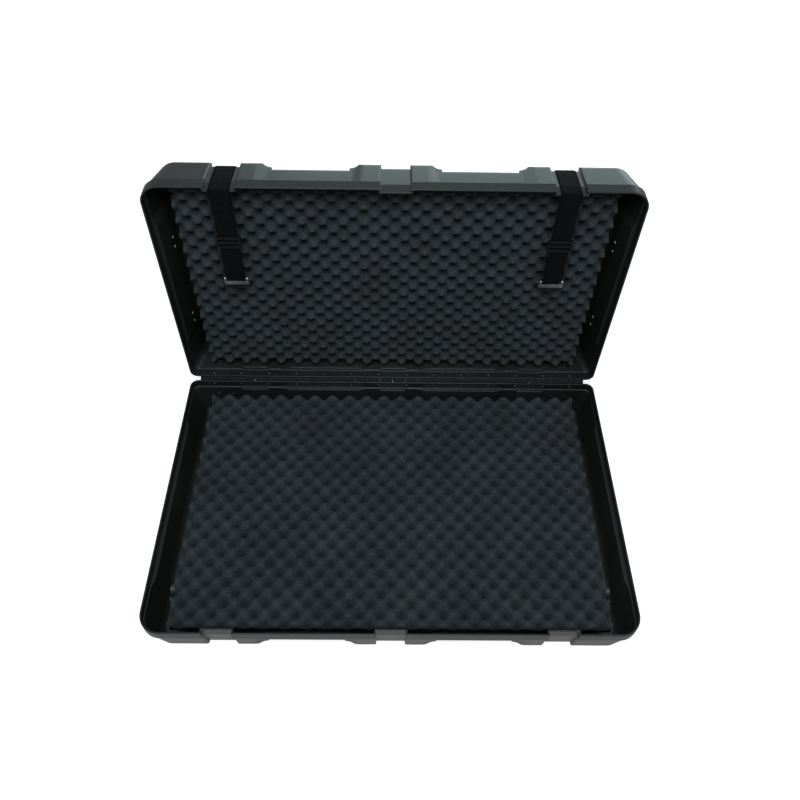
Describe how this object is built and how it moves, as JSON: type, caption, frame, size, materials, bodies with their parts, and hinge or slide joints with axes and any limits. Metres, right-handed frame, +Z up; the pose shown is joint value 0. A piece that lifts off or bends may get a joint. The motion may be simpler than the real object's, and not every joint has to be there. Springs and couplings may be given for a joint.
{
  "type": "bike travel case",
  "caption": "Open clamshell hard travel case for a bicycle: ribbed black shells, egg-crate foam liners, leaf hinges, webbing straps, end handles and casters",
  "frame": {"origin": "on the floor under the base, in the middle of the open case's bounding box", "axes": "+X along the case's length to the right, +Y from the front rim towards the hinge and lid, +Z up"},
  "size_m": [1.2036, 0.8532, 0.8533],
  "materials": {
    "shell": "fine grained satin black-grey moulding",
    "foam": "charcoal open-cell foam",
    "steel": "satin",
    "black_steel": "black coated",
    "zinc_plate": "zinc plated pressing",
    "hub_plastic": "moulded",
    "tyre": "matt rubber",
    "webbing": "woven webbing",
    "slider_plastic": "moulded",
    "hook_metal": "bright plated",
    "grip_rubber": "soft grip",
    "cap_plastic": "moulded",
    "rivet": "bright"
  },
  "bodies": {
    "base": {"base_foam": "foam", "base_foam_pad": "foam", "base_rivets": "rivet", "base_shell": "shell", "caster_axle_base_left": "steel", "caster_axle_base_right": "steel", "caster_fork_base_left": "zinc_plate", "caster_fork_base_right": "zinc_plate", "hinge_leaf_base_left": "black_steel", "hinge_leaf_base_left_end": "black_steel", "hinge_leaf_base_right": "black_steel", "hinge_leaf_base_right_end": "black_steel", "hinge_pin_left": "black_steel", "hinge_pin_left_end": "black_steel", "hinge_pin_right": "black_steel", "hinge_pin_right_end": "black_steel", "strap_catch_left": "steel", "strap_catch_right": "steel"},
    "lid": {"caster_axle_lid_left": "steel", "caster_axle_lid_right": "steel", "caster_fork_lid_left": "zinc_plate", "caster_fork_lid_right": "zinc_plate", "handle_caps_left": "cap_plastic", "handle_caps_right": "cap_plastic", "handle_grip_left": "grip_rubber", "handle_grip_right": "grip_rubber", "hinge_leaf_lid_left": "black_steel", "hinge_leaf_lid_left_end": "black_steel", "hinge_leaf_lid_right": "black_steel", "hinge_leaf_lid_right_end": "black_steel", "lid_foam": "foam", "lid_foam_pad": "foam", "lid_rivets": "rivet", "lid_shell": "shell", "lid_strap_left": "webbing", "lid_strap_right": "webbing"},
    "wheel_base_left": {"wheel_hub_base_left": "hub_plastic", "wheel_tyre_base_left": "tyre"},
    "wheel_lid_left": {"wheel_hub_lid_left": "hub_plastic", "wheel_tyre_lid_left": "tyre"},
    "slider_left": {"strap_slider_left": "slider_plastic"},
    "hook_left": {"strap_hook_left": "hook_metal"},
    "wheel_base_right": {"wheel_hub_base_right": "hub_plastic", "wheel_tyre_base_right": "tyre"},
    "wheel_lid_right": {"wheel_hub_lid_right": "hub_plastic", "wheel_tyre_lid_right": "tyre"},
    "slider_right": {"strap_slider_right": "slider_plastic"},
    "hook_right": {"strap_hook_right": "hook_metal"}
  },
  "joints": [
    {"name": "lid_hinge", "type": "hinge", "parent": "base", "child": "lid", "pos_m": [0, 0.30635, 0.1203], "axis": [1, 0, 0], "range_deg": [0, 90]},
    {"name": "caster_base_left", "type": "hinge", "parent": "base", "child": "wheel_base_left", "pos_m": [-0.498, 0.31845, 0.04366], "axis": [1, 0, 0], "continuous": true},
    {"name": "caster_lid_left", "type": "hinge", "parent": "lid", "child": "wheel_lid_left", "pos_m": [-0.498, 0.38299, 0.1082], "axis": [1, 0, 0], "continuous": true},
    {"name": "caster_base_right", "type": "hinge", "parent": "base", "child": "wheel_base_right", "pos_m": [0.498, 0.31845, 0.04366], "axis": [1, 0, 0], "continuous": true},
    {"name": "caster_lid_right", "type": "hinge", "parent": "lid", "child": "wheel_lid_right", "pos_m": [0.498, 0.38299, 0.1082], "axis": [1, 0, 0], "continuous": true},
    {"name": "strap_slide_left", "type": "slide", "parent": "lid", "child": "slider_left", "axis": [0, 0, 1], "range_m": [-0.05, 0.06]},
    {"name": "hook_swing_left", "type": "hinge", "parent": "lid", "child": "hook_left", "pos_m": [-0.408, 0.31395, 0.5433], "axis": [1, 0, 0], "range_deg": [-50, 10]},
    {"name": "strap_slide_right", "type": "slide", "parent": "lid", "child": "slider_right", "axis": [0, 0, 1], "range_m": [-0.05, 0.06]},
    {"name": "hook_swing_right", "type": "hinge", "parent": "lid", "child": "hook_right", "pos_m": [0.408, 0.31395, 0.5433], "axis": [1, 0, 0], "range_deg": [-50, 10]}
  ]
}
